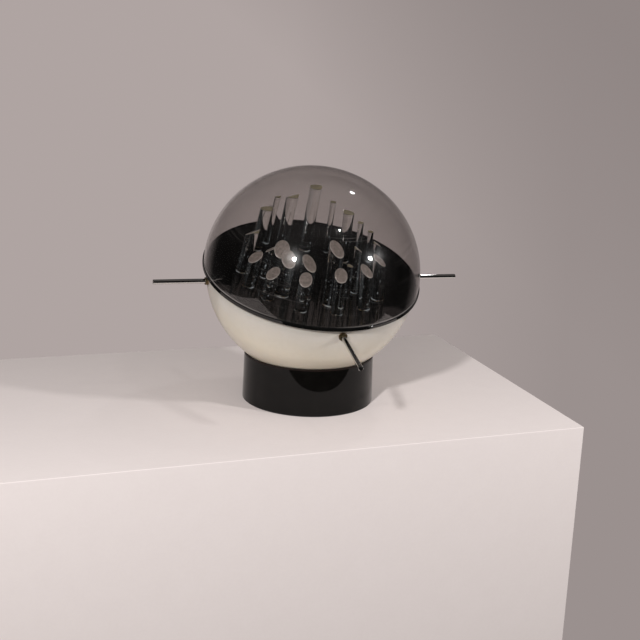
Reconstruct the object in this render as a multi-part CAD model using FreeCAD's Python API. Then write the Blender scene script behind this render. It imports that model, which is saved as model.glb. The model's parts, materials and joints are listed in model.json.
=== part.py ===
import FreeCAD, Part
import math
import os

# Ball lamp: a globe that rests in a short base ring and can be turned and tipped in it.
# Millimetres. The base is drawn in the world frame: origin in the middle of the foot, Z up.
# The globe is drawn in a frame of its own: origin at the globe's centre, Z through the dome's top.
# Azimuths are degrees from +X towards +Y.

os.makedirs("parts", exist_ok=True)

# Fits
loose_fit = 0.3  # round pieces that lift off or slide past one another
running_fit = 0.1  # round a shaft that turns
seat_gap = 0.1  # between pieces that are glued or pressed together
hole_fit = 0.3  # bolt and rod holes, on the radius

# Base
base_height = 65.4
base_top_radius = 89.8
base_flare = 1.3  # how much wider the tube is at the foot
base_wall = 3.0
foot_thickness = 1.0
foot_inset = 0.2
notch_width = 10.0  # where the flex leaves, at the back
notch_height = 9.0
land_height = 2.0  # the seat ring's flange on the tube's top edge
rebate_width = 1.5  # of the tube's wall left standing outside the seat ring's leg
rebate_depth = 3.8
land_width = 1.6  # flat top edge left outside the hollow for the felt
seat_width = 5.7
seat_depth = 5.4  # from the base's top to the seat ring's bottom
felt_thickness = 0.6
felt_margin = 0.2  # seat left bare under the felt's lower edge
felt_sink = 0.6  # how far the felt's upper edge lies inside the seat ring's mouth

# Globe: the bowl, the deck that closes it and the dome
bowl_radius = 145.0
bowl_wall = 3.0
mouth_inset = 2.2  # from the base's top edge in to the felt's face, carried on to that height
globe_tip = 17.45
globe_tip_azimuth = -67.2
rim_overhang = 5.0  # of the deck's rim over the bowl
rim_height = 4.5
lip_thickness = 1.0
lip_round = 0.5
groove_depth = 1.5
dish_radius = 760.0  # the deck's top is a shallow dish, part of a sphere
deck_thickness = 3.0
spigot_length = 4.5
spigot_thickness = 2.4
dome_wall = 2.0
dome_flattening = 6.2  # the dome's height is this much less than its radius

# Clear rods that stand square to the dish, cut off at a slant
rod_end_slope = 41.0
rod_below_deck = 2.0
thick = 20.0
wide = 16.5
medium = 15.0
slim = 12.0
fine = 10.0
thin = 8.0
# Each row: distance from the globe's axis, azimuth, height of the slanting end's middle over the
# deck, diameter, azimuth that the slanting end faces. Distance and height are in percent of the
# rim's radius.
light_rods = (
    (64.0, 191, 40.5, wide, 155),
    (66.1, 214, 28.7, wide, 216),
    (65.6, 236.5, 24.7, wide, 230),
    (66.6, 264.5, 29.0, wide, 266),
    (67.3, 292, 35.7, wide, 280),
    (68.1, 316, 36.3, wide, 328),
    (66.6, 336.5, 38.7, wide, 349),
    (66.7, 26, 28.0, fine, 26),
    (67.9, 38.5, 34.0, thin, 80),
    (66.6, 133, 53.0, thin, 120),
    (64.2, 147.5, 46.0, wide, 110),
    (38.9, 214.5, 35.3, thick, 268),
    (47.7, 239, 35.3, thick, 288),
    (39.2, 263, 34.0, thick, 317),
    (49.1, 292.5, 53.3, thick, 316),
    (44.0, 321, 32.0, thin, 60),
    (44.0, 337, 44.0, fine, 20),
    (48.7, 30.5, 52.0, thin, 80),
    (49.6, 54, 54.0, medium, 75),
    (53.5, 77, 56.7, thin, 85),
    (51.8, 99.5, 70.7, wide, 98),
    (48.8, 130, 62.7, wide, 132),
    (44.0, 197, 28.7, slim, 165),
)

# Handles: four rods through the bowl's wall into blocks under the deck
handle_azimuths = (19.4, 109.4, 199.4, 289.4)
handle_drop = 14.7  # below the rim's top
handle_diameter = 6.5
handle_past_lug = 2.0
handle_reach = 69.0  # beyond the rim
handle_chamfer = 0.5
handle_nut_flats = 10.0
handle_nut_height = 3.0
handle_washer_diameter = 11.0
handle_washer_thickness = 1.0
lug_to_wall = 3.8  # from the bowl's inside, at its widest
lug_length = 16.2
lug_width = 18.0
lug_bottom = 23.0
insert_diameter = 9.0
insert_length = 14.0
spacer_diameter = 10.0

# Threaded tube through the bowl's pole, with what it clamps
nipple_diameter = 10.0
nipple_bore = 7.0
nipple_below_pole = 7.0
nipple_length = 24.0
bowl_hole_fit = 0.2
gland_flange_diameter = 20.0
gland_flange_thickness = 3.0
gland_body_diameter = 16.0
gland_below_pole = 10.0
gland_chamfer = 1.5
pole_washer_diameter = 20.0
pole_washer_thickness = 1.5
pole_nut_flats = 14.0
pole_nut_height = 4.0

# Lamp bracket, bent from sheet steel
sheet = 1.5
bracket_disc_diameter = 30.0
arm_azimuths = (0, 120, 240)
arm_width = 12.0
arm_rise_start = 15.0
arm_rise_end = 30.0
arm_rise = 10.5
arm_length = 60.0
block_azimuth = 60
tab_width = 18.0
tab_length = 32.0

# Lampholders and bulbs
holder_distance = 45.0
holder_diameter = 27.0
holder_height = 35.5
holder_round = 1.5
holder_bore = 16.0
holder_bore_depth = 25.5
holder_stud_diameter = 10.0
holder_stud_length = 7.0
holder_nut_flats = 14.0
holder_nut_height = 3.0
shell_length = 20.0
shell_inner_radius = 7.3
shell_top_below_mouth = 3.5
contact_radius = 2.5
contact_height = 2.5
bulb_radius = 22.5
bulb_rise = 29.6  # the ball's centre over the holder's mouth
bulb_wall = 0.8
bulb_shoulder_radius = 9.5
neck_radius = 6.2
neck_length = 4.5
cap_radius = 6.9
cap_wall = 0.5
cap_top_in_mouth = 0.4
cap_length = 20.0
neck_over_cap = 0.5
cap_floor = 2.5
cap_tip_radius = 2.2

# Terminal block and inner leads
block_inner = 15.5
block_depth = 16.0
block_width = 20.0
block_height = 12.0
lead_diameter = 2.2
lead_bend = 3.0
lead_rise = 5.5
lead_in_block = 4.0
live_row = 27.0
neutral_row = 20.0
lead_entry_offset = 4.0

V = FreeCAD.Vector
ORIGIN = V(0, 0, 0)
UP = V(0, 0, 1)

base_foot_radius = base_top_radius + base_flare
land_inner_radius = base_top_radius - land_width
seat_low_radius = land_inner_radius - seat_width
seat_low_height = base_height - seat_depth
mouth_radius = base_top_radius - mouth_inset
felt_face_radius = bowl_radius + loose_fit
globe_centre_height = base_height + math.sqrt(felt_face_radius**2 - mouth_radius**2)
globe_centre = V(0, 0, globe_centre_height)
tip_axis_azimuth = math.radians(globe_tip_azimuth + 90)
tip_axis = V(math.cos(tip_axis_azimuth), math.sin(tip_axis_azimuth), 0)
globe_placement = FreeCAD.Placement(globe_centre, FreeCAD.Rotation(tip_axis, globe_tip))

bowl_inner_radius = bowl_radius - bowl_wall
rim_radius = bowl_radius + rim_overhang
dome_foot_radius = rim_radius - lip_thickness - loose_fit
dome_height = dome_foot_radius - dome_flattening
deck_edge_radius = dome_foot_radius - dome_wall - loose_fit
dish_centre_height = math.sqrt(dish_radius**2 - deck_edge_radius**2)
dish_centre = V(0, 0, dish_centre_height)

handle_tip = rim_radius + handle_reach
lug_outer = bowl_inner_radius - lug_to_wall
lug_inner = lug_outer - lug_length
handle_inner_end = lug_inner - handle_past_lug

nipple_bottom = -bowl_radius - nipple_below_pole
nipple_top = nipple_bottom + nipple_length
gland_bottom = -bowl_radius - gland_below_pole
bowl_hole_radius = nipple_diameter / 2 + bowl_hole_fit
pole_washer_bottom = -math.sqrt(bowl_inner_radius**2 - (pole_washer_diameter / 2) ** 2)
lower_nut_bottom = pole_washer_bottom + pole_washer_thickness
bracket_bottom = lower_nut_bottom + pole_nut_height
arm_top = bracket_bottom + sheet + arm_rise
holder_top = arm_top + holder_height
holder_floor = holder_top - holder_bore_depth
bulb_centre = holder_top + bulb_rise
cap_top = holder_top - cap_top_in_mouth
cap_bottom = cap_top - cap_length
neck_start = cap_top + neck_over_cap
neck_end = neck_start - neck_length


def save(name, shape):
    shape.exportStep("parts/" + name + ".step")


def save_on_globe(name, shape):
    """Turn a piece from the globe's frame into the world and save it."""
    placed = shape.copy()
    placed.Placement = globe_placement.multiply(placed.Placement)
    save(name, placed)


def turned(*corners):
    """Solid of revolution about Z. A corner is (radius, height), reached by a straight line, or
    (radius, height, radius, height), reached by an arc through the point given last. The outline
    closes from the last corner to the first in the same way."""
    edges = []
    for start, stop in zip(corners, corners[1:] + corners[:1]):
        first = V(start[0], 0, start[1])
        last = V(stop[0], 0, stop[1])
        if len(stop) == 4:
            edges.append(Part.Arc(first, V(stop[2], 0, stop[3]), last).toShape())
        else:
            edges.append(Part.LineSegment(first, last).toShape())
    return Part.Face(Part.Wire(edges)).revolve(ORIGIN, UP, 360)


def tube(outer_radius, inner_radius, bottom, top):
    return turned((inner_radius, bottom), (outer_radius, bottom), (outer_radius, top), (inner_radius, top))


def below(centre_height, sphere_radius, radius):
    """Height of a sphere's lower half at a distance from the axis."""
    return centre_height - math.sqrt(sphere_radius**2 - radius**2)


def around(shape, azimuths):
    """The same piece at several azimuths, as a group of separate solids."""
    pieces = []
    for azimuth in azimuths:
        piece = shape.copy()
        piece.rotate(ORIGIN, UP, azimuth)
        pieces.append(piece)
    return Part.makeCompound(pieces)


def laid_out(shape, height):
    """Turn a piece drawn along Z so that it points out along X at a height."""
    piece = shape.copy()
    piece.rotate(ORIGIN, V(0, 1, 0), 90)
    piece.translate(V(0, 0, height))
    return piece


def percent(share):
    return rim_radius * share / 100


def on_dish(shape, distance, azimuth):
    """Carry a piece from the dish's lowest point to another place on it, still square to it."""
    turn = math.radians(azimuth)
    piece = shape.copy()
    swing = math.degrees(math.asin(distance / dish_radius))
    piece.rotate(dish_centre, V(math.sin(turn), -math.cos(turn), 0), swing)
    return piece


def nut(flats, bore_radius, bottom, height):
    """Hexagon nut with its corners turned off at both ends."""
    corner = flats / math.sqrt(3)
    ring = []
    for step in range(7):
        angle = math.radians(60 * step)
        ring.append(V(corner * math.cos(angle), corner * math.sin(angle), bottom))
    prism = Part.Face(Part.makePolygon(ring)).extrude(V(0, 0, height))
    bevel = (corner - flats / 2) * math.tan(math.radians(30))
    top = bottom + height
    blank = turned(
        (bore_radius, bottom),
        (flats / 2, bottom),
        (corner, bottom + bevel),
        (corner, top - bevel),
        (flats / 2, top),
        (bore_radius, top),
    )
    return prism.common(blank)


# Base


def tube_radius(height):
    """Outside of the tapering base tube."""
    tube_height = base_height - land_height - foot_thickness
    share = (height - foot_thickness) / tube_height
    return base_foot_radius - base_flare * share


def flex_notch():
    """Round-topped notch through the back of the base, for the flex."""
    half = notch_width / 2
    depth = base_foot_radius
    slot = Part.makeBox(notch_width, depth, notch_height - half, V(-half, 0, 0))
    arch = Part.makeCylinder(half, depth, V(0, 0, notch_height - half), V(0, 1, 0))
    return slot.fuse(arch).common(Part.makeBox(notch_width, 2 * depth, notch_height, V(-half, depth / 2, 0)))


def base_ring():
    top = base_height - land_height
    shelf = top - rebate_depth
    body = turned(
        (base_foot_radius - base_wall, foot_thickness),
        (base_foot_radius, foot_thickness),
        (base_top_radius, top),
        (base_top_radius - rebate_width, top),
        (base_top_radius - rebate_width, shelf),
        (tube_radius(shelf) - base_wall, shelf),
    )
    return body.cut(flex_notch())


def foot_ring():
    outer = base_foot_radius - foot_inset
    inner = base_foot_radius - base_wall + foot_inset
    return tube(outer, inner, 0, foot_thickness).cut(flex_notch())


def seat_ring():
    """Wedge-shaped ring: a flange on the tube, a leg inside it, and a seat hollowed for the felt."""
    seat_sphere = felt_face_radius + felt_thickness + seat_gap
    leg_radius = base_top_radius - rebate_width - loose_fit
    flange_bottom = base_height - land_height
    seat_middle = (seat_low_radius + land_inner_radius) / 2
    return turned(
        (land_inner_radius, base_height),
        (base_top_radius, base_height),
        (base_top_radius, flange_bottom),
        (leg_radius, flange_bottom),
        (leg_radius, seat_low_height),
        (seat_low_radius, seat_low_height),
        (seat_low_radius, below(globe_centre_height, seat_sphere, seat_low_radius)),
        (
            land_inner_radius,
            below(globe_centre_height, seat_sphere, land_inner_radius),
            seat_middle,
            below(globe_centre_height, seat_sphere, seat_middle),
        ),
    )


def felt_point(sphere_radius, turn):
    return (sphere_radius * math.sin(turn), globe_centre_height - sphere_radius * math.cos(turn))


def seat_felt():
    """Strip that follows the globe, between two angles at the globe's centre."""
    face = felt_face_radius
    back = face + felt_thickness
    low = math.asin((seat_low_radius + felt_margin) / face)
    high = math.asin((mouth_radius - felt_sink) / face)
    middle = (low + high) / 2
    return turned(
        felt_point(face, low) + felt_point(face, middle),
        felt_point(back, low),
        felt_point(back, high) + felt_point(back, middle),
        felt_point(face, high),
    )


# Globe


def lower_bowl():
    inner = bowl_inner_radius
    slant = math.sqrt(0.5)
    shell = turned(
        (math.sqrt(inner**2 - rim_height**2), -rim_height, inner * slant, -inner * slant),
        (math.sqrt(bowl_radius**2 - rim_height**2), -rim_height),
        (bowl_hole_radius, below(0, bowl_radius, bowl_hole_radius), bowl_radius * slant, -bowl_radius * slant),
        (bowl_hole_radius, below(0, inner, bowl_hole_radius)),
    )
    drill = laid_out(Part.makeCylinder(handle_diameter / 2 + hole_fit, bowl_radius), -handle_drop)
    return shell.cut(around(drill, handle_azimuths))


def deck_plate():
    """Dished plate with the dome's groove in its rim and a spigot that fits into the bowl."""
    under_radius = dish_radius + deck_thickness
    spigot_bottom = -rim_height - spigot_length
    spigot_outer = math.sqrt(bowl_inner_radius**2 - spigot_bottom**2) - loose_fit
    spigot_inner = spigot_outer - spigot_thickness
    groove_outer = rim_radius - lip_thickness
    round_middle = lip_round * (1 - math.sqrt(0.5))
    half = deck_edge_radius / 2
    plate = turned(
        (0, dish_centre_height - dish_radius),
        (deck_edge_radius, 0, half, below(dish_centre_height, dish_radius, half)),
        (deck_edge_radius, -groove_depth),
        (groove_outer, -groove_depth),
        (groove_outer, 0),
        (rim_radius - lip_round, 0),
        (rim_radius, -lip_round, rim_radius - round_middle, -round_middle),
        (rim_radius, -rim_height),
        (spigot_outer, -rim_height),
        (spigot_outer, spigot_bottom),
        (spigot_inner, spigot_bottom),
        (spigot_inner, below(dish_centre_height, under_radius, spigot_inner)),
        (0, dish_centre_height - under_radius, half, below(dish_centre_height, under_radius, half)),
    )
    drills = []
    for share, azimuth, height, diameter, facing in light_rods:
        start = V(0, 0, dish_centre_height - dish_radius - 2 * deck_thickness)
        drill = Part.makeCylinder(diameter / 2 + seat_gap, 4 * deck_thickness, start)
        drills.append(on_dish(drill, percent(share), azimuth))
    return plate.cut(Part.makeCompound(drills))


def dome():
    """Shell between two half ellipsoids that stands on the groove's floor. The quarter ellipses are
    turned as splines, because plain ones come out of the STEP file damaged."""
    sides = []
    tops = []
    arcs = []
    for inset in (0, dome_wall):
        side = V(dome_foot_radius - inset, 0, -groove_depth)
        top = V(0, 0, dome_height - inset - groove_depth)
        quarter = Part.Ellipse(side, top, V(0, 0, -groove_depth))
        sides.append(side)
        tops.append(top)
        arcs.append(Part.ArcOfEllipse(quarter, 0, math.pi / 2).toNurbs().toShape())
    crown = Part.LineSegment(tops[0], tops[1]).toShape()
    foot = Part.LineSegment(sides[1], sides[0]).toShape()
    return Part.Face(Part.Wire([arcs[0], crown, arcs[1], foot])).revolve(ORIGIN, UP, 360)


def light_rod(share, azimuth, rise, diameter, facing):
    """Clear rod through the deck, cut off at a slant that faces one way."""
    height = percent(rise)
    deck = dish_centre_height - dish_radius
    bottom = deck - deck_thickness - rod_below_deck
    radius = diameter / 2
    rod = Part.makeCylinder(radius, deck + height + 2 * radius - bottom, V(0, 0, bottom))
    waste = Part.makeBox(4 * diameter, 4 * diameter, 4 * diameter, V(-2 * diameter, -2 * diameter, 0))
    waste.rotate(ORIGIN, V(0, 1, 0), rod_end_slope)
    waste.rotate(ORIGIN, UP, facing)
    waste.translate(V(0, 0, deck + height))
    return on_dish(rod.cut(waste), percent(share), azimuth)


# Handles


def handle_rod(azimuth):
    radius = handle_diameter / 2
    rod = turned(
        (0, handle_inner_end),
        (radius - handle_chamfer, handle_inner_end),
        (radius, handle_inner_end + handle_chamfer),
        (radius, handle_tip - handle_chamfer),
        (radius - handle_chamfer, handle_tip),
        (0, handle_tip),
    )
    return around(laid_out(rod, -handle_drop), (azimuth,)).Solids[0]


def washer_start():
    """The washer's upper edge is the first to meet the bowl."""
    edge_drop = handle_drop - handle_washer_diameter / 2
    return math.sqrt(bowl_radius**2 - edge_drop**2)


def handle_washers():
    start = washer_start()
    bore = handle_diameter / 2 + hole_fit
    ring = tube(handle_washer_diameter / 2, bore, start, start + handle_washer_thickness)
    return around(laid_out(ring, -handle_drop), handle_azimuths)


def handle_nuts():
    start = washer_start() + handle_washer_thickness
    hexagon = nut(handle_nut_flats, handle_diameter / 2 + running_fit, start, handle_nut_height)
    return around(laid_out(hexagon, -handle_drop), handle_azimuths)


def deck_lugs():
    """Blocks glued under the dish, each bored for an insert and the handle's end."""
    length = lug_outer - lug_inner
    block = Part.makeBox(length, lug_width, lug_bottom, V(lug_inner, -lug_width / 2, -lug_bottom))
    dish_under = Part.makeSphere(dish_radius + deck_thickness + seat_gap, dish_centre)
    insert_hole = Part.makeCylinder(
        insert_diameter / 2 + seat_gap, insert_length, V(lug_outer - insert_length, 0, -handle_drop), V(1, 0, 0)
    )
    through = laid_out(Part.makeCylinder(handle_diameter / 2 + hole_fit, lug_outer), -handle_drop)
    return around(block.cut(dish_under).cut(insert_hole).cut(through), handle_azimuths)


def lug_inserts():
    bore = handle_diameter / 2 + running_fit
    sleeve = tube(insert_diameter / 2, bore, lug_outer - insert_length, lug_outer)
    return around(laid_out(sleeve, -handle_drop), handle_azimuths)


def handle_spacers():
    bore = handle_diameter / 2 + hole_fit
    lower_edge_drop = handle_drop + spacer_diameter / 2
    outer_end = math.sqrt(bowl_inner_radius**2 - lower_edge_drop**2) - seat_gap
    ring = tube(spacer_diameter / 2, bore, lug_outer + seat_gap, outer_end)
    return around(laid_out(ring, -handle_drop), handle_azimuths)


# Pole


def cord_gland():
    """Turned entry for the flex, with its flange just under the bowl."""
    flange_top = -bowl_radius - loose_fit
    flange_bottom = flange_top - gland_flange_thickness
    socket = nipple_diameter / 2 + running_fit
    body = gland_body_diameter / 2
    return turned(
        (socket, flange_top),
        (gland_flange_diameter / 2, flange_top),
        (gland_flange_diameter / 2, flange_bottom),
        (body, flange_bottom),
        (body, gland_bottom + gland_chamfer),
        (body - gland_chamfer, gland_bottom),
        (nipple_bore / 2, gland_bottom),
        (nipple_bore / 2, nipple_bottom),
        (socket, nipple_bottom),
    )


def nipple():
    return tube(nipple_diameter / 2, nipple_bore / 2, nipple_bottom, nipple_top)


def nipple_washer():
    bore = nipple_diameter / 2 + running_fit
    return tube(pole_washer_diameter / 2, bore, pole_washer_bottom, lower_nut_bottom)


def nipple_nuts():
    bore = nipple_diameter / 2 + running_fit
    lower = nut(pole_nut_flats, bore, lower_nut_bottom, pole_nut_height)
    upper = nut(pole_nut_flats, bore, bracket_bottom + sheet, pole_nut_height)
    return Part.makeCompound([lower, upper])


# Bracket, lampholders and bulbs


def bracket_arm():
    """Strip that leaves the disc flat, rises at a slant and runs flat again under the lampholder."""
    run = arm_rise_end - arm_rise_start
    shift = sheet * math.tan(math.atan2(arm_rise, run) / 2)  # the upper face bends this much sooner
    low = bracket_bottom
    high = bracket_bottom + arm_rise
    side = [
        (0, low),
        (arm_rise_start, low),
        (arm_rise_end, high),
        (arm_length, high),
        (arm_length, high + sheet),
        (arm_rise_end - shift, high + sheet),
        (arm_rise_start - shift, low + sheet),
        (0, low + sheet),
        (0, low),
    ]
    outline = Part.makePolygon([V(x, -arm_width / 2, z) for x, z in side])
    return Part.Face(outline).extrude(V(0, arm_width, 0))


def lamp_bracket():
    centre = Part.makeCylinder(bracket_disc_diameter / 2, sheet, V(0, 0, bracket_bottom))
    tab = Part.makeBox(tab_length, tab_width, sheet, V(0, -tab_width / 2, bracket_bottom))
    tab.rotate(ORIGIN, UP, block_azimuth)
    pieces = [tab]
    for azimuth in arm_azimuths:
        arm = bracket_arm()
        arm.rotate(ORIGIN, UP, azimuth)
        pieces.append(arm)
    plate = centre.fuse(pieces).removeSplitter()
    centre_hole = Part.makeCylinder(
        nipple_diameter / 2 + running_fit, 2 * sheet, V(0, 0, bracket_bottom - sheet / 2)
    )
    stud_hole = Part.makeCylinder(
        holder_stud_diameter / 2 + hole_fit, 2 * sheet, V(holder_distance, 0, arm_top - 1.5 * sheet)
    )
    return plate.cut(centre_hole).cut(around(stud_hole, arm_azimuths))


def at_holder(shape, azimuth):
    piece = shape.copy()
    piece.translate(V(holder_distance, 0, 0))
    piece.rotate(ORIGIN, UP, azimuth)
    return piece


def at_holders(*shapes):
    pieces = []
    for azimuth in arm_azimuths:
        for shape in shapes:
            pieces.append(at_holder(shape, azimuth))
    return Part.makeCompound(pieces)


def lampholder():
    """Cup with a threaded stud under its floor."""
    outer = holder_diameter / 2
    stud = holder_stud_diameter / 2
    rounding = holder_round * (1 - math.sqrt(0.5))
    return turned(
        (0, arm_top - holder_stud_length),
        (stud, arm_top - holder_stud_length),
        (stud, arm_top),
        (outer, arm_top),
        (outer, holder_top - holder_round),
        (outer - holder_round, holder_top, outer - rounding, holder_top - rounding),
        (holder_bore / 2, holder_top),
        (holder_bore / 2, holder_floor),
        (0, holder_floor),
    )


def holder_contacts():
    shell_top = holder_top - shell_top_below_mouth
    shell = tube(holder_bore / 2 - seat_gap, shell_inner_radius, shell_top - shell_length, shell_top)
    button = Part.makeCylinder(contact_radius, contact_height, V(0, 0, holder_floor))
    return at_holders(shell, button)


def holder_nuts():
    bottom = arm_top - sheet - holder_nut_height
    return at_holders(nut(holder_nut_flats, holder_stud_diameter / 2 + running_fit, bottom, holder_nut_height))


def bulb_glass():
    """Blown ball with an open neck that the cap closes."""
    inner = bulb_radius - bulb_wall
    inner_shoulder = bulb_shoulder_radius - bulb_wall
    inner_neck = neck_radius - bulb_wall
    return turned(
        (0, bulb_centre + bulb_radius),
        (bulb_shoulder_radius, below(bulb_centre, bulb_radius, bulb_shoulder_radius), bulb_radius, bulb_centre),
        (neck_radius, neck_start),
        (neck_radius, neck_end),
        (inner_neck, neck_end),
        (inner_neck, neck_start),
        (inner_shoulder, below(bulb_centre, inner, inner_shoulder)),
        (0, bulb_centre + inner, inner, bulb_centre),
    )


def bulb_caps():
    """Metal cup round each neck, with the tip that meets the holder's middle contact."""
    inner = cap_radius - cap_wall
    tip = holder_floor + contact_height
    cup = turned(
        (0, tip),
        (cap_tip_radius, tip),
        (cap_radius, cap_bottom),
        (cap_radius, cap_top),
        (inner, cap_top),
        (inner, cap_bottom + cap_floor),
        (0, cap_bottom + cap_floor),
    )
    return at_holders(cup)


# Terminal block and leads

block_bottom = bracket_bottom + sheet
block_top = block_bottom + block_height
lead_level = block_top + lead_rise

# For each lampholder: how far its live and its neutral hole in the block lie from the block's
# middle line, and on which side of the lampholder's middle the live lead arrives.
lead_plan = {
    0: (-6.5, -6.5, 1),
    120: (6.5, 6.5, -1),
    240: (1.8, -1.8, -1),
}


def block_point(distance, offset, height):
    """A point over the block: distance out from the pole, offset across, height."""
    point = V(distance, offset, height)
    return FreeCAD.Rotation(UP, block_azimuth).multVec(point)


def lead_hole(distance, offset):
    start = block_point(distance, offset, block_top - lead_in_block)
    return Part.makeCylinder(lead_diameter / 2 + seat_gap, 2 * lead_in_block, start)


def terminal_block():
    block = Part.makeBox(block_depth, block_width, block_height, V(block_inner, -block_width / 2, block_bottom))
    block.rotate(ORIGIN, UP, block_azimuth)
    holes = []
    for live_offset, neutral_offset, side in lead_plan.values():
        holes.append(lead_hole(live_row, live_offset))
        holes.append(lead_hole(neutral_row, neutral_offset))
    return block.cut(Part.makeCompound(holes))


def lead(start, corner, end):
    """Round wire: a straight run, a square bend as an arc, and a straight run."""
    first = (corner - start).normalize()
    second = (end - corner).normalize()
    bend_start = corner - first * lead_bend
    bend_end = corner + second * lead_bend
    bend_centre = bend_start + second * lead_bend
    bend_middle = bend_centre + (corner - bend_centre).normalize() * lead_bend
    path = Part.Wire(
        [
            Part.LineSegment(start, bend_start).toShape(),
            Part.Arc(bend_start, bend_middle, bend_end).toShape(),
            Part.LineSegment(bend_end, end).toShape(),
        ]
    )
    section = Part.Wire([Part.Circle(start, first, lead_diameter / 2).toShape()])
    return path.makePipeShell([section], True, True)


def lead_to_holder(azimuth, row, offset, side):
    """From a hole in the block's top up, over, and up to the lampholder's side."""
    start = block_point(row, offset, block_top - lead_in_block)
    corner = block_point(row, offset, lead_level)
    middle = at_holder(Part.Vertex(0, 0, lead_level), azimuth).Vertexes[0].Point
    to_middle = middle - corner
    straight = V(to_middle).normalize()
    target = middle + UP.cross(straight) * (side * lead_entry_offset)
    along = (target - corner).normalize()
    passing = to_middle.cross(along).Length - lead_diameter / 2
    reach = holder_diameter / 2 + seat_gap
    run = to_middle.dot(along) - math.sqrt(reach**2 - passing**2)
    return lead(start, corner, corner + along * run)


def live_leads():
    leads = []
    for azimuth, (live_offset, neutral_offset, side) in lead_plan.items():
        leads.append(lead_to_holder(azimuth, live_row, live_offset, side))
    return Part.makeCompound(leads)


def neutral_leads():
    leads = []
    for azimuth, (live_offset, neutral_offset, side) in lead_plan.items():
        leads.append(lead_to_holder(azimuth, neutral_row, neutral_offset, -side))
    return Part.makeCompound(leads)


save("base_ring", base_ring())
save("foot_ring", foot_ring())
save("seat_ring", seat_ring())
save("seat_felt", seat_felt())

save_on_globe("lower_bowl", lower_bowl())
save_on_globe("deck_plate", deck_plate())
save_on_globe("dome", dome())
for number, row in enumerate(light_rods, 1):
    save_on_globe("light_rod_%02d" % number, light_rod(*row))

for number, azimuth in enumerate(handle_azimuths, 1):
    save_on_globe("handle_rod_%d" % number, handle_rod(azimuth))
save_on_globe("handle_washers", handle_washers())
save_on_globe("handle_nuts", handle_nuts())
save_on_globe("deck_lugs", deck_lugs())
save_on_globe("lug_inserts", lug_inserts())
save_on_globe("handle_spacers", handle_spacers())

save_on_globe("cord_gland", cord_gland())
save_on_globe("nipple", nipple())
save_on_globe("nipple_washer", nipple_washer())
save_on_globe("nipple_nuts", nipple_nuts())

save_on_globe("lamp_bracket", lamp_bracket())
for number, azimuth in enumerate(arm_azimuths, 1):
    save_on_globe("lampholder_%d" % number, at_holder(lampholder(), azimuth))
    save_on_globe("bulb_glass_%d" % number, at_holder(bulb_glass(), azimuth))
save_on_globe("holder_contacts", holder_contacts())
save_on_globe("holder_nuts", holder_nuts())
save_on_globe("bulb_caps", bulb_caps())
save_on_globe("terminal_block", terminal_block())
save_on_globe("live_leads", live_leads())
save_on_globe("neutral_leads", neutral_leads())
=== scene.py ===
import json
import math

import bpy
import numpy as np
from mathutils import Matrix, Vector


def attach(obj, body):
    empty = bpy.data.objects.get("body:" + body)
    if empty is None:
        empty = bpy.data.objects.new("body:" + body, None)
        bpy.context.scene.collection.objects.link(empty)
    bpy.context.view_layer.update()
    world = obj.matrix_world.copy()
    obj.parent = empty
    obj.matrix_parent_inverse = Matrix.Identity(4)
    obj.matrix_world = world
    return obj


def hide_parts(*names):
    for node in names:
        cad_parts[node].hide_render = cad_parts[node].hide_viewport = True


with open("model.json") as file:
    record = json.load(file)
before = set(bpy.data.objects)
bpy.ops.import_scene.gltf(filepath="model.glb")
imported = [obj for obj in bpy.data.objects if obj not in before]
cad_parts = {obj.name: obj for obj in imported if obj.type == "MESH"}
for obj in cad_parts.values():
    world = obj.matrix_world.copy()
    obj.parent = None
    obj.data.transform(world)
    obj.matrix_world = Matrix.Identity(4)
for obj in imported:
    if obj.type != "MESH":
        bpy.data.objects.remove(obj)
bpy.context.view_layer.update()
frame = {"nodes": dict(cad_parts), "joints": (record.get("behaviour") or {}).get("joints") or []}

bpy.context.scene.view_settings.view_transform = "Standard"
bpy.context.scene.cycles.max_bounces = 24
bpy.context.scene.cycles.transmission_bounces = 24
bpy.context.scene.cycles.glossy_bounces = 10
bpy.context.scene.cycles.transparent_max_bounces = 48


# Base tube. Steel tube, a little wider at the foot, sprayed gloss black and baked, so that the
# skin has the slightest orange peel and some dust. The flex leaves through a notch at the back.

def add(tree, kind, sockets=None, **settings):
    """Put a node in a tree. A socket is named by its label and takes a value or another node's output."""
    made = tree.nodes.new("ShaderNode" + kind)
    for name, value in settings.items():
        setattr(made, name, value)
    for label, value in (sockets or {}).items():
        if isinstance(value, bpy.types.NodeSocket):
            tree.links.new(value, made.inputs[label])
        else:
            made.inputs[label].default_value = value
    return made


def reckon(tree, operation, *values, **settings):
    """The result of a math node that is given these values or other nodes' outputs."""
    return add(tree, "Math", dict(enumerate(values)), operation=operation, **settings).outputs[0]


def rising(tree, value, start, end, top=1.0, foot=0.0):
    """From foot to top while the value goes from start to end, and level outside of them."""
    sockets = {"Value": value, "From Min": start, "From Max": end, "To Min": foot, "To Max": top}
    return add(tree, "MapRange", sockets).outputs[0]


def blend(tree, share, first, second, **settings):
    """The first colour where the share is 0 and the second where it is 1."""
    return add(tree, "Mix", {0: share, 6: first, 7: second}, data_type="RGBA", **settings).outputs[2]


def effect(name, inputs, outputs):
    """An empty node group with named float inputs and outputs, for effects that several finishes share."""
    tree = bpy.data.node_groups.new(name, "ShaderNodeTree")
    for label, value in inputs.items():
        socket = tree.interface.new_socket(label, in_out="INPUT", socket_type="NodeSocketFloat")
        socket.default_value = value
    for label in outputs:
        tree.interface.new_socket(label, in_out="OUTPUT", socket_type="NodeSocketFloat")
    return tree, tree.nodes.new("NodeGroupInput").outputs, tree.nodes.new("NodeGroupOutput")


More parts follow.
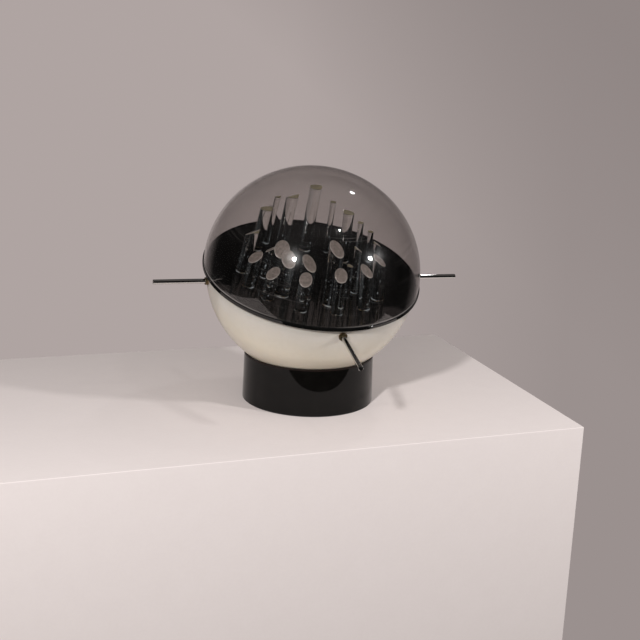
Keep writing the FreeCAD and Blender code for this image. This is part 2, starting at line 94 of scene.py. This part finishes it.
# Cloudy drift: broad noise plus a finer one, as a mask from 0 to 1 and as a height.
drift, given, out = effect("cloudy_drift", {"Scale": 200.0, "Fineness": 6.0}, ("Mask", "Height"))
place = add(drift, "TexCoord").outputs["Object"]
broad = add(drift, "TexNoise", {"Vector": place, "Scale": given["Scale"], "Detail": 3.0}).outputs[0]
finer = reckon(drift, "MULTIPLY", given["Scale"], given["Fineness"])
fine = add(drift, "TexNoise", {"Vector": place, "Scale": finer, "Detail": 2.0}).outputs[0]
both = reckon(drift, "ADD", broad, fine)
drift.links.new(rising(drift, both, 0.7, 1.3), out.inputs["Mask"])
drift.links.new(both, out.inputs["Height"])

# Dust: the brightest crumbs of a fine noise, gathered where a broad noise is high.
DUST_TONE = (0.32, 0.3, 0.27, 1)

dust, given, out = effect("settled_dust", {"Scale": 1500.0, "Amount": 0.5}, ("Mask",))
place = add(dust, "TexCoord").outputs["Object"]
crumbs = add(dust, "TexNoise", {"Vector": place, "Scale": given["Scale"], "Detail": 1.0}).outputs[0]
patches = add(dust, "TexNoise", {"Vector": place, "Scale": 22.0, "Detail": 3.0}).outputs[0]
where = reckon(dust, "MULTIPLY", rising(dust, crumbs, 0.66, 0.74), rising(dust, patches, 0.35, 0.75))
dust.links.new(reckon(dust, "MULTIPLY", where, given["Amount"]), out.inputs["Mask"])


def finish(name, colour, tone, rough, dull, grain, depth, dust_share=0.0, fineness=6.0, **plain):
    """A material whose colour drifts between colour and tone and whose roughness drifts between rough
    and dull with the cloudy drift, with a relief of that depth in metres, and with so much dust on it.
    Plain sockets are set as they are."""
    material = bpy.data.materials.new(name)
    material.use_nodes = True
    tree = material.node_tree
    shader = tree.nodes["Principled BSDF"]
    cloud = add(tree, "Group", {"Scale": grain, "Fineness": fineness}, node_tree=drift).outputs
    skin = blend(tree, cloud["Mask"], (*colour, 1), (*tone, 1))
    gloss = rising(tree, cloud["Mask"], 0.0, 1.0, dull, rough)
    if dust_share:
        specks = add(tree, "Group", {"Amount": dust_share}, node_tree=dust).outputs["Mask"]
        skin = blend(tree, specks, skin, DUST_TONE)
        gloss = reckon(tree, "ADD", gloss, specks)
    tree.links.new(skin, shader.inputs["Base Color"])
    tree.links.new(gloss, shader.inputs["Roughness"])
    bump = add(tree, "Bump", {"Height": cloud["Height"], "Distance": depth, "Strength": 1.0})
    tree.links.new(bump.outputs[0], shader.inputs["Normal"])
    for label, value in plain.items():
        shader.inputs[label.replace("_", " ")].default_value = value
    return material


def wear(material, *names):
    """Give CAD nodes a finish, in the slot that they have."""
    for name in names:
        frame["nodes"][name].material_slots[0].material = material


baked_black = finish(
    "baked_gloss_black", (0.0022, 0.002, 0.0018), (0.004, 0.0036, 0.0032), 0.03, 0.07, 60.0, 0.000006,
    dust_share=0.04, IOR=1.3,
)
wear(baked_black, "base_ring")


# Foot ring. Thin ring of black rubber glued under the tube's foot, so that the lamp neither slides
# nor scratches what it stands on.

rubber = finish("foot_rubber", (0.012, 0.012, 0.012), (0.03, 0.029, 0.028), 0.7, 0.9, 700.0, 0.00006)
wear(rubber, "foot_ring")


# Seat ring. Dark brown turned phenolic, dropped into the tube's mouth, with a felt strip stuck in its
# hollow on which the globe turns.

brown = finish(
    "seat_brown_phenolic", (0.007, 0.0035, 0.0025), (0.012, 0.006, 0.004), 0.35, 0.5, 240.0, 0.00002,
    IOR=1.3,
)
wear(brown, "seat_ring")

felt = finish(
    "brown_felt", (0.035, 0.022, 0.018), (0.075, 0.052, 0.042), 0.9, 1.0, 900.0, 0.0003,
    Sheen_Weight=0.5,
)
tree = felt.node_tree
place = add(tree, "TexCoord").outputs["Object"]
strands = add(tree, "TexNoise", {"Vector": place, "Scale": 2600.0, "Distortion": 3.0}).outputs[0]
relief = tree.nodes["Bump"].outputs[0]
pile = add(tree, "Bump", {"Height": strands, "Distance": 0.0003, "Normal": relief}).outputs[0]
tree.links.new(pile, tree.nodes["Principled BSDF"].inputs["Normal"])
wear(felt, "seat_felt")


# Lower bowl. Half a ball blown in opal acrylic, cream white and a little translucent, glossy outside,
# drilled at the pole and for the four handles. Towards the black deck the cream is greyed with painted
# shade, most of all just under the rim, for the shade of deck and rim and the light that comes back less
# through the wall there.

opal = finish(
    "opal_acrylic", (0.725, 0.66, 0.545), (0.7, 0.635, 0.52), 0.13, 0.22, 26.0, 0.00002,
    dust_share=0.1, IOR=1.45, Subsurface_Weight=0.25, Subsurface_Scale=0.006,
)
tree = opal.node_tree
shader = tree.nodes["Principled BSDF"]
shader.inputs["Subsurface Radius"].default_value = (1.0, 0.8, 0.6)

joints = {joint["name"]: joint for joint in frame["joints"]}
globe_centre = np.array(joints["globe_turn"]["pos_m"])
globe_axis = np.array(joints["globe_turn"]["axis"])


def from_globe_centre(tree):
    """A point's place from the globe's centre and its height along the globe's axis, in metres: the place
    is the point less the centre, and the height is the place's share along the axis."""
    point = add(tree, "TexCoord").outputs["Object"]
    place = add(tree, "VectorMath", {0: point, 1: tuple(globe_centre)}, operation="SUBTRACT").outputs[0]
    height = add(tree, "VectorMath", {0: place, 1: tuple(globe_axis)}, operation="DOT_PRODUCT")
    return place, height.outputs["Value"]


# Painted shade: between the two heights of a row the colour goes over to that share of itself.
PAINTED_SHADE_UNDER_RIM = ((-0.058, -0.02, (0.81, 0.825, 0.9)), (-0.02, -0.006, (0.78, 0.8, 0.8)))

_, height = from_globe_centre(tree)
skin = shader.inputs["Base Color"].links[0].from_socket
# Painted shade under the rim, multiplied into the cream.
for start, end, share in PAINTED_SHADE_UNDER_RIM:
    skin = blend(tree, rising(tree, height, start, end), skin, (*share, 1), blend_type="MULTIPLY")
tree.links.new(skin, shader.inputs["Base Color"])
wear(opal, "lower_bowl")


# Deck. Turned black acrylic, dished and polished, with the rim that holds the dome. Its shine shows
# the rods upside down, and fine dust has settled in the dish.

polished_black = finish(
    "polished_black_acrylic", (0.0025, 0.0025, 0.0024), (0.0045, 0.0044, 0.0042), 0.01, 0.02, 30.0,
    0.0000004, dust_share=0.04, IOR=1.49,
)
wear(polished_black, "deck_plate")


# Clear rods. Cast acrylic rod with a fire-polished side, sawn off at 41 degrees, the end left frosted
# with its edge just broken. Each stands square to the dish, in a hole through the deck.

END_SLOPE = math.tan(math.radians(41))
RIM_RADIUS = 0.15
DISH_EDGE = 0.1464
DISH_RADIUS = 0.76
DISH_CENTRE = math.sqrt(DISH_RADIUS**2 - DISH_EDGE**2)
DECK = 0.003
BELOW_DECK = 0.002
BROKEN_EDGE = 0.0005
SHARPEST_SMOOTH_EDGE = math.radians(28)

# The band of painted glow at the fillet of cement round the foot: its middle, up the side from its lowest
# row, and half its width.
FOOT_GLOW_HEIGHT = 0.0057
FOOT_GLOW_HALF = 0.0005

# Rows of points up the side. The bands of faces are counted from the lower end's middle, so that the
# broken upper edge is the band after the side, and the sawn end all that follows.
SIDE_ROWS = 12
EDGE_BAND = SIDE_ROWS + 1

tip_axis = np.array(joints["globe_tilt"]["axis"])
globe_tip = math.acos(globe_axis[2])


def swung(points, axis, angle):
    """Points turned by an angle round an axis through the origin: the point times cos, plus the cross
    product of axis and point times sin, plus the part along the axis times what cos lacks of one."""
    axis = np.asarray(axis) / np.linalg.norm(axis)
    along = points @ axis
    return (
        points * math.cos(angle)
        + np.cross(axis, points) * math.sin(angle)
        + along[..., None] * axis * (1 - math.cos(angle))
    )


def on_globe(points):
    """From the globe's own frame, with Z through the dome's top, to the lamp as it stands."""
    return swung(points, tip_axis, globe_tip) + globe_centre


def skin_mesh(name, grid, ends=None):
    """A mesh over a grid of points (rows along the profile, columns round the axis). The columns close
    into a ring. The first and last rows are closed by one point each: the two ends, or else the rows'
    middles. The UV map gives the way round and the way along the profile from the third row, in metres."""
    rows, columns = grid.shape[:2]
    points = grid.reshape(-1, 3)
    row = np.arange(rows - 1)[:, None] * columns
    here = np.arange(columns)[None, :]
    after = (here + 1) % columns
    above = row + columns
    quads = np.stack([row + here, row + after, above + after, above + here], -1).reshape(-1, 4)
    points = np.vstack([points, *((grid[0].mean(0), grid[-1].mean(0)) if ends is None else ends)])
    first, last = len(points) - 2, len(points) - 1
    top = (rows - 1) * columns
    here, after = here[0], after[0]
    faces = quads.tolist()
    faces += np.stack([np.full(columns, first), after, here], -1).tolist()
    faces += np.stack([np.full(columns, last), top + here, top + after], -1).tolist()
    mesh = bpy.data.meshes.new(name)
    mesh.from_pydata(points.tolist(), [], faces)
    middle = grid[rows // 2]
    step = np.linalg.norm(np.roll(middle, -1, 0) - middle, axis=1).mean()
    along = np.concatenate([[0], np.cumsum(np.linalg.norm(np.diff(grid[:, 0], axis=0), axis=1))])
    i, j = np.meshgrid(np.arange(rows - 1), np.arange(columns), indexing="ij")
    along -= along[2]
    way = np.stack([
        np.stack([j, j + 1, j + 1, j], -1) * step,
        np.stack([along[i], along[i], along[i + 1], along[i + 1]], -1),
    ], -1).reshape(-1, 2)
    way = np.vstack([way, np.zeros((6 * columns, 2))])
    mesh.uv_layers.new(name="Way").data.foreach_set("uv", way.ravel())
    mesh.shade_smooth()
    mesh.set_sharp_from_angle(angle=SHARPEST_SMOOTH_EDGE)
    mesh.update()
    return mesh


def piece(name, mesh, body, slot, *stands_for):
    """Link a finished mesh, let it ride on its body and stand for its CAD nodes, which are hidden. The
    slot is not used.
    """
    made = bpy.data.objects.new(name, mesh)
    bpy.context.scene.collection.objects.link(made)
    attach(made, body)
    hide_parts(*stands_for)


def clear(name, tint, through, **plain):
    """Clear plastic. Light that only passes on its way to or from a dull surface goes straight through
    with the tint called through, so that no stray sparks are left; all else sees the real glass."""
    material = bpy.data.materials.new(name)
    material.use_nodes = True
    tree = material.node_tree
    shader = tree.nodes["Principled BSDF"]
    shader.inputs["Base Color"].default_value = (*tint, 1)
    shader.inputs["Transmission Weight"].default_value = 1.0
    shader.inputs["IOR"].default_value = 1.49
    for label, value in plain.items():
        shader.inputs[label.replace("_", " ")].default_value = value
    path = add(tree, "LightPath").outputs
    dull = reckon(tree, "MAXIMUM", path["Is Shadow Ray"], path["Is Diffuse Ray"])
    straight = add(tree, "BsdfTransparent", {"Color": (*through, 1)})
    mix = add(tree, "MixShader", {0: dull, 1: shader.outputs[0], 2: straight.outputs[0]})
    tree.links.new(mix.outputs[0], tree.nodes["Material Output"].inputs["Surface"])
    return material, tree, shader


# The side: painted glow. Emission stands in for light that the frosted end lets in and that runs down
# inside the rod, leaving a little along hair lines, more at short scuffs and at the fillet of cement round
# the foot.
rod_side, tree, shader = clear("clear_acrylic_rod", (0.95, 0.94, 0.92), (0.9, 0.89, 0.87), Roughness=0.0)
way = add(tree, "UVMap", uv_map="Way").outputs[0]
apart = add(tree, "ObjectInfo").outputs["Random"]


def streaks(across, length, low, high):
    """A mask of streaks along the rod, so many to the metre across and along, and other on each rod."""
    drawn = add(tree, "Mapping", {"Vector": way, "Scale": (across, length, 1.0)}).outputs[0]
    sockets = {"Vector": drawn, "W": apart, "Scale": 1.0, "Detail": 1.0}
    return rising(tree, add(tree, "TexNoise", sockets, noise_dimensions="4D").outputs[0], low, high)


along = add(tree, "SeparateXYZ", {"Vector": way}).outputs["Y"]
low = rising(tree, along, 0.045, 0.03)
painted_hairline_glow = reckon(tree, "MULTIPLY", streaks(700.0, 9.0, 0.58, 0.72), 0.045)
painted_spark_glow = reckon(tree, "MULTIPLY", streaks(520.0, 150.0, 0.69, 0.77), low)
painted_scuff_glow = reckon(tree, "MULTIPLY_ADD", painted_spark_glow, 0.65, painted_hairline_glow)
foot_glow_band = reckon(tree, "COMPARE", along, FOOT_GLOW_HEIGHT, FOOT_GLOW_HALF)
inner = add(tree, "NewGeometry").outputs["Backfacing"]
outer_foot_glow_band = reckon(tree, "SUBTRACT", foot_glow_band, inner, use_clamp=True)
painted_foot_glow = reckon(tree, "MULTIPLY", outer_foot_glow_band, streaks(45.0, 0.0, 0.5, 0.6))
painted_glow = reckon(tree, "MULTIPLY_ADD", painted_foot_glow, 0.3, painted_scuff_glow)
# Painted glow as emission, in a pale blue.
shader.inputs["Emission Color"].default_value = (0.86, 0.94, 1.0, 1)
tree.links.new(painted_glow, shader.inputs["Emission Strength"])

# The upper end: sawn and left frosted, mottled, grey outside. From inside it is painted a pale yellow and
# given a faint glow, painted light for the room's light that it lets through. Its broken edge is paler.
# The lower end is polished.
rod_end, tree, shader = clear(
    "frosted_acrylic_end", (0.9, 0.88, 0.83), (0.8, 0.78, 0.75),
    Transmission_Weight=0.1, Specular_IOR_Level=0.15,
)
saw = add(tree, "Group", {"Scale": 260.0}, node_tree=drift).outputs
mottle = blend(tree, saw["Mask"], (0.125, 0.104, 0.094, 1), (0.3, 0.257, 0.232, 1))
inner = add(tree, "NewGeometry").outputs["Backfacing"]
# Painted light: a pale yellow colour and a faint emission on the inside only.
tree.links.new(blend(tree, inner, mottle, (0.78, 0.67, 0.44, 1)), shader.inputs["Base Color"])
shader.inputs["Emission Color"].default_value = (1.0, 0.87, 0.63, 1)
tree.links.new(reckon(tree, "MULTIPLY", inner, 0.085), shader.inputs["Emission Strength"])
tree.links.new(rising(tree, saw["Mask"], 0.0, 1.0, 0.7, 0.5), shader.inputs["Roughness"])
grit = add(tree, "Bump", {"Height": saw["Height"], "Distance": 0.0003})
tree.links.new(grit.outputs[0], shader.inputs["Normal"])

rod_edge = finish("broken_acrylic_edge", (0.34, 0.3, 0.27), (0.45, 0.41, 0.38), 0.35, 0.5, 400.0, 0.00002)

# Each rod's distance from the globe's axis, azimuth, height of the end's middle over the deck along the
# rod, diameter, and azimuth that the end faces. Distances and heights are in percent of the rim's
# radius, diameters in millimetres, azimuths in degrees.
RODS = (
    (64.0, 191, 40.5, 16.5, 155), (66.1, 214, 28.7, 16.5, 216), (65.6, 236.5, 24.7, 16.5, 230),
    (66.6, 264.5, 29.0, 16.5, 266), (67.3, 292, 35.7, 16.5, 280), (68.1, 316, 36.3, 16.5, 328),
    (66.6, 336.5, 38.7, 16.5, 349), (66.7, 26, 28.0, 10, 26), (67.9, 38.5, 34.0, 8, 80),
    (66.6, 133, 53.0, 8, 120), (64.2, 147.5, 46.0, 16.5, 110), (38.9, 214.5, 35.3, 20, 268),
    (47.7, 239, 35.3, 20, 288), (39.2, 263, 34.0, 20, 317), (49.1, 292.5, 53.3, 20, 316),
    (44.0, 321, 32.0, 8, 60), (44.0, 337, 44.0, 10, 20), (48.7, 30.5, 52.0, 8, 80),
    (49.6, 54, 54.0, 15, 75), (53.5, 77, 56.7, 8, 85), (51.8, 99.5, 70.7, 16.5, 98),
    (48.8, 130, 62.7, 16.5, 132), (44.0, 197, 28.7, 12, 165),
)


def rod_grid(rise, radius, facing, columns=72):
    """Rows from the lower end's inner ring up the side and in over the slanting end. Up the side the
    height runs evenly from the lower end to the slant. At a radius r and a turn v, counted from the way
    that the end faces, the slant's height is that of the end's middle less slope times r times cos v."""
    turn = np.linspace(0, 2 * math.pi, columns, endpoint=False)
    foot = DISH_CENTRE - DISH_RADIUS - DECK - BELOW_DECK
    tip = DISH_CENTRE - DISH_RADIUS + rise

    def slant(r):
        return tip - END_SLOPE * r * np.cos(turn - facing)

    edge = BROKEN_EDGE
    share = np.linspace(0, 1, SIDE_ROWS)[:, None]
    side = (foot + edge) * (1 - share) + (slant(radius) - edge) * share
    heights = np.vstack([np.full((2, columns), foot), side, slant(radius - edge), slant(radius / 2)])
    inwards = [radius - edge, radius / 2]
    radii = np.array(inwards[::-1] + [radius] * SIDE_ROWS + inwards)[:, None]
    return np.stack([radii * np.cos(turn), radii * np.sin(turn), heights], -1)


for number, (distance, azimuth, rise, diameter, facing) in enumerate(RODS, 1):
    azimuth = math.radians(azimuth)
    grid = rod_grid(RIM_RADIUS * rise / 100, diameter / 2000, math.radians(facing))
    leaning = math.asin(RIM_RADIUS * distance / 100 / DISH_RADIUS)
    square = swung(grid - (0, 0, DISH_CENTRE), (math.sin(azimuth), -math.cos(azimuth), 0), leaning)
    mesh = skin_mesh("clear_rod_%02d" % number, on_globe(square + (0, 0, DISH_CENTRE)))
    for material in (rod_side, rod_end, rod_edge):
        mesh.materials.append(material)
    rows, columns = grid.shape[:2]
    closing = [np.zeros(columns, int), np.full(columns, EDGE_BAND + 1)]
    band = np.concatenate([np.arange(rows - 1).repeat(columns), *closing])
    index = np.select([band == EDGE_BAND, band > EDGE_BAND], [2, 1], 0)
    mesh.polygons.foreach_set("material_index", index.astype(np.int32))
    piece("clear_rod_%02d" % number, mesh, "globe", "rod_clear", "light_rod_%02d" % number)


# Dome. Smoked clear acrylic blown to a slightly flattened half ball, two millimetres thick, standing
# loose in the rim's groove. The grey tint is in the plastic. Rubbing marks and dust get a faint painted
# glow, and a thin pale line of painted reflection runs round the foot, brightest at the sides in front.

FOOT_RADIUS = 0.1487
FOOT_DROP = 0.0015
DOME_HEIGHT = 0.1425
DOME_WALL = 0.002

# The painted reflection line at the foot: the height of its middle over the globe's centre, and half its
# width.
PAINTED_LINE_HEIGHT = 0.0006
PAINTED_LINE_HALF = 0.0004

smoked, tree, shader = clear(
    "smoked_acrylic", (0.738, 0.718, 0.708), (0.822, 0.81, 0.804), Roughness=0.0,
    IOR=1.4, Coat_Weight=0.06, Coat_Roughness=0.2,
)
way = add(tree, "UVMap", uv_map="Way").outputs[0]
drawn = add(tree, "Mapping", {"Vector": way, "Scale": (9.0, 900.0, 1.0)}).outputs[0]
rubs = add(tree, "TexNoise", {"Vector": drawn, "Scale": 1.0, "Detail": 0.0}).outputs[0]
specks = add(tree, "Group", {"Amount": 0.06}, node_tree=dust).outputs["Mask"]
# Dust specks and rubbing marks, real, given a painted glow as emission.
marks_painted_glow = reckon(tree, "ADD", specks, rising(tree, rubs, 0.76, 0.82, 0.035))
place, height = from_globe_centre(tree)
place = add(tree, "SeparateXYZ", {"Vector": place}).outputs
# Painted reflection: a pale emission line round the foot, brightest at the front sides, none at the back.
foot = reckon(tree, "COMPARE", height, PAINTED_LINE_HEIGHT, PAINTED_LINE_HALF)
sideways = reckon(tree, "ABSOLUTE", place["X"])
painted_rim_line = rising(tree, sideways, 0.03, 0.1, rising(tree, place["Y"], 0.05, 0.0, 0.2), 0.01)
shader.inputs["Emission Color"].default_value = (1.0, 0.9, 0.86, 1)
tree.links.new(reckon(tree, "MULTIPLY_ADD", foot, painted_rim_line, marks_painted_glow), shader.inputs["Emission Strength"])


def dome_grid(rows=88, columns=224):
    """Down the outer half ellipse from near the top to the foot, across the foot, and up the inner one.
    The radius is the foot's times cos u and the height the top's times sin u, u from the top down."""
    turn = np.linspace(0, 2 * math.pi, columns, endpoint=False)
    climb = np.linspace(math.pi / 2, 0, rows + 1)[1:]
    inset = np.concatenate([np.zeros(rows), np.full(rows, DOME_WALL)])
    angle = np.concatenate([climb, climb[::-1]])
    radii = ((FOOT_RADIUS - inset) * np.cos(angle))[:, None]
    heights = ((DOME_HEIGHT - inset) * np.sin(angle) - FOOT_DROP)[:, None]
    grid = np.broadcast_arrays(radii * np.cos(turn), radii * np.sin(turn), heights)
    return np.stack(grid, -1)[:, ::-1]


outer_top = DOME_HEIGHT - FOOT_DROP
tops = np.array([[0, 0, outer_top], [0, 0, outer_top - DOME_WALL]])
mesh = skin_mesh("smoked_dome", on_globe(dome_grid()), on_globe(tops))
mesh.materials.append(smoked)
piece("smoked_dome", mesh, "dome", "dome_smoked", "dome")


# Handles. Chromed rod, screwed through the bowl's wall into a block under the deck. A small brass nut
# and an amber fibre washer close the hole.

chrome = finish(
    "polished_chrome", (0.72, 0.71, 0.69), (0.62, 0.61, 0.59), 0.03, 0.07, 90.0, 0.000002,
    dust_share=0.05, fineness=9.0, Metallic=1.0,
)
wear(chrome, *("handle_rod_%d" % number for number in (1, 2, 3, 4)))
# The brass is painted far darker than bare brass: painted shade for the shadow under the rim that the nuts
# sit in. The inserts under the deck share it.
shade_darkened_brass = finish(
    "small_brass", (0.17, 0.13, 0.07), (0.1, 0.075, 0.04), 0.3, 0.5, 500.0, 0.00001, Metallic=1.0,
)
wear(shade_darkened_brass, "handle_nuts", "lug_inserts")
amber = finish("amber_fibre", (0.12, 0.07, 0.03), (0.17, 0.1, 0.045), 0.4, 0.6, 800.0, 0.00002)
wear(amber, "handle_washers")
black = finish("black_block", (0.01, 0.01, 0.01), (0.02, 0.02, 0.019), 0.2, 0.35, 120.0, 0.00001)
wear(black, "deck_lugs")
turned = finish(
    "turned_aluminium", (0.72, 0.72, 0.73), (0.6, 0.6, 0.61), 0.25, 0.4, 600.0, 0.00001, Metallic=1.0,
)
wear(turned, "handle_spacers")


# Pole. Black turned gland for the flex, and the threaded tube that carries the sheet steel bracket.
# The tube, its washer and nuts, the bracket and the nuts on its arms are zinc plated.

gland = finish("gland_black", (0.014, 0.014, 0.014), (0.03, 0.03, 0.029), 0.3, 0.45, 400.0, 0.00003)
wear(gland, "cord_gland")
plated = finish(
    "zinc_plate", (0.62, 0.61, 0.57), (0.5, 0.48, 0.42), 0.24, 0.42, 260.0, 0.00002, Metallic=1.0,
)
wear(plated, "nipple", "nipple_washer", "nipple_nuts", "lamp_bracket", "holder_nuts")


# Lampholders and bulbs. Moulded black cups with brass contacts on the bracket's three arms, and small
# pearl glass bulbs with metal caps, screwed into them.

moulded = finish("moulded_black", (0.016, 0.013, 0.011), (0.03, 0.025, 0.02), 0.28, 0.42, 300.0, 0.00002)
wear(moulded, "lampholder_1", "lampholder_2", "lampholder_3")
contact = finish(
    "contact_brass", (0.66, 0.46, 0.19), (0.5, 0.33, 0.13), 0.22, 0.4, 500.0, 0.00001, Metallic=1.0,
)
wear(contact, "holder_contacts")
pearl = finish(
    "pearl_glass", (0.86, 0.84, 0.8), (0.8, 0.78, 0.73), 0.3, 0.4, 200.0, 0.00001,
    Transmission_Weight=0.35,
)
wear(pearl, "bulb_glass_1", "bulb_glass_2", "bulb_glass_3")
cap = finish(
    "bulb_cap", (0.68, 0.67, 0.64), (0.55, 0.54, 0.5), 0.25, 0.4, 500.0, 0.00001, Metallic=1.0,
)
wear(cap, "bulb_caps")


# Terminal block and inner leads. White moulded block, and the brown and blue insulated wires that run
# from it to the three lampholders.

block = finish("block_white", (0.7, 0.69, 0.65), (0.62, 0.6, 0.55), 0.35, 0.5, 300.0, 0.00002)
wear(block, "terminal_block")
live = finish("lead_brown", (0.09, 0.035, 0.015), (0.12, 0.05, 0.022), 0.35, 0.5, 400.0, 0.00002)
wear(live, "live_leads")
neutral = finish("lead_blue", (0.02, 0.06, 0.22), (0.03, 0.08, 0.27), 0.35, 0.5, 400.0, 0.00002)
wear(neutral, "neutral_leads")


# Pedestal. Plinth painted white that the lamp stands on, with softly broken edges. It is stage and no
# part of the lamp, and its top lies a hair under the lamp's foot.

CORNERS = ((-0.6356, 0.0464), (-0.467, -0.405), (0.374, -0.085), (0.2098, 0.355))
PEDESTAL_FOOT = -0.9
PEDESTAL_TOP = -0.0002

mesh = bpy.data.meshes.new("pedestal")
mesh.from_pydata(
    [(x, y, z) for z in (PEDESTAL_FOOT, PEDESTAL_TOP) for x, y in CORNERS], [],
    [(4, 5, 6, 7), (3, 2, 1, 0), (0, 1, 5, 4), (1, 2, 6, 5), (2, 3, 7, 6), (3, 0, 4, 7)],
)
paint = finish(
    "painted_white", (0.745, 0.67, 0.65), (0.73, 0.655, 0.635), 0.85, 0.95, 40.0, 0.00003, IOR=1.3,
)
mesh.materials.append(paint)
pedestal = bpy.data.objects.new("pedestal", mesh)
bpy.context.scene.collection.objects.link(pedestal)
edge = pedestal.modifiers.new("broken edge", "BEVEL")
edge.width = 0.0007
edge.segments = 2


# Light. Two small round studio lamps in front, left and right, and two weak ones high up at the right,
# before and behind the lamp. The camera doesn't see them.

def lamp(name, place, aim, size, power):
    """A round white lamp of that diameter in metres and power in watts, turned to its aim."""
    light = bpy.data.lights.new(name, "AREA")
    light.shape = "DISK"
    light.size = size
    light.energy = power
    made = bpy.data.objects.new(name, light)
    made.location = place
    made.rotation_mode = "QUATERNION"
    made.rotation_quaternion = (Vector(aim) - Vector(place)).to_track_quat("-Z", "Y")
    made.visible_camera = False
    bpy.context.scene.collection.objects.link(made)


lamp("left lamp", (-0.49, -1.526, 0.975), (0, 0, 0.12), 0.116, 25.0)
lamp("right lamp", (1.258, -0.568, 0.730), (0, 0, 0.12), 0.11, 10.4)
lamp("high lamp", (0.534, -0.556, 1.258), (0, 0, 0.2), 0.05, 0.6)
lamp("back lamp", (0.531, 0.642, 1.279), (0, 0, 0.2), 0.07, 1.0)


# Room. A pale wall that darkens to the right and upwards, as the camera sees it. A straight look through
# clear plastic sees it up to some 40 degrees, and a mirrored one only behind the lamp. All else there is
# a dim room with a paler patch overhead, and dull surfaces get the room's even fill.

WALL_LEFT = (0.429, 0.372, 0.361, 1)
WALL_RIGHT = (0.323, 0.279, 0.271, 1)
WALL_CORNER = (0.28, 0.241, 0.234, 1)
DIM_ROOM = (0.01, 0.0096, 0.0094, 1)
OVERHEAD = (0.1, 0.092, 0.09, 1)
EVEN_FILL = (0.267, 0.256, 0.25, 1)

world = bpy.data.worlds.new("room")
bpy.context.scene.world = world
world.use_nodes = True
world.cycles.sampling_method = "NONE"
tree = world.node_tree
way = add(tree, "SeparateXYZ", {0: add(tree, "TexCoord").outputs["Generated"]}).outputs
path = add(tree, "LightPath").outputs

side_wall = blend(tree, rising(tree, way["X"], -0.03, 0.2), WALL_LEFT, WALL_RIGHT)
corner = rising(tree, reckon(tree, "MULTIPLY_ADD", way["Z"], 1.2, way["X"]), -0.1, 0.2)
wall = blend(tree, corner, side_wall, WALL_CORNER)

behind = rising(tree, way["Y"], 0.55, 0.85)
to_right = reckon(tree, "MINIMUM", way["X"], 0.2)
low = rising(tree, reckon(tree, "MULTIPLY_ADD", to_right, 0.6, way["Z"]), 0.64, 0.627)
unmirrored = reckon(tree, "LESS_THAN", path["Glossy Depth"], 0.5)
clear_view = reckon(tree, "MULTIPLY", low, reckon(tree, "MAXIMUM", unmirrored, behind))
through = reckon(tree, "MULTIPLY", path["Is Transmission Ray"], clear_view)
low_behind = reckon(tree, "MULTIPLY", rising(tree, way["Z"], 0.15, 0.0, 0.6), behind)
shine = reckon(tree, "MULTIPLY", path["Is Glossy Ray"], low_behind)
sees_wall = reckon(tree, "MAXIMUM", reckon(tree, "MAXIMUM", shine, through), path["Is Camera Ray"])

across = reckon(tree, "SUBTRACT", way["X"], way["Y"])
patch = rising(tree, reckon(tree, "MULTIPLY_ADD", across, 0.5, way["Z"]), 0.5, 0.7)
overhead = reckon(tree, "MULTIPLY", rising(tree, way["Z"], 0.6, 0.8), patch)
dim = blend(tree, reckon(tree, "MULTIPLY", path["Is Glossy Ray"], overhead), DIM_ROOM, OVERHEAD)

not_dull = reckon(tree, "MAXIMUM", path["Is Glossy Ray"], path["Is Transmission Ray"])
room = blend(tree, sees_wall, blend(tree, not_dull, EVEN_FILL, dim), wall)
tree.links.new(room, tree.nodes["Background"].inputs["Color"])


# Camera. It stands at the photograph's place and angle, which were fitted to the outlines of rim, dome,
# bowl, base and handles.

CAMERA_PLACE = (0.01395, -1.6073, 0.538)

camera = bpy.data.objects.new("camera", bpy.data.cameras.new("camera"))
camera.data.lens = 67.5
camera.data.sensor_width = 36.0
right = Vector((0.99913, 0.01072, 0.0403))
up = Vector((-0.0417, 0.2568, 0.9656))
back = right.cross(up).normalized()
up = back.cross(right).normalized()
turned_to_lamp = Matrix((right.normalized(), up, back)).transposed().to_4x4()
camera.matrix_world = Matrix.Translation(CAMERA_PLACE) @ turned_to_lamp
bpy.context.scene.collection.objects.link(camera)
bpy.context.scene.camera = camera
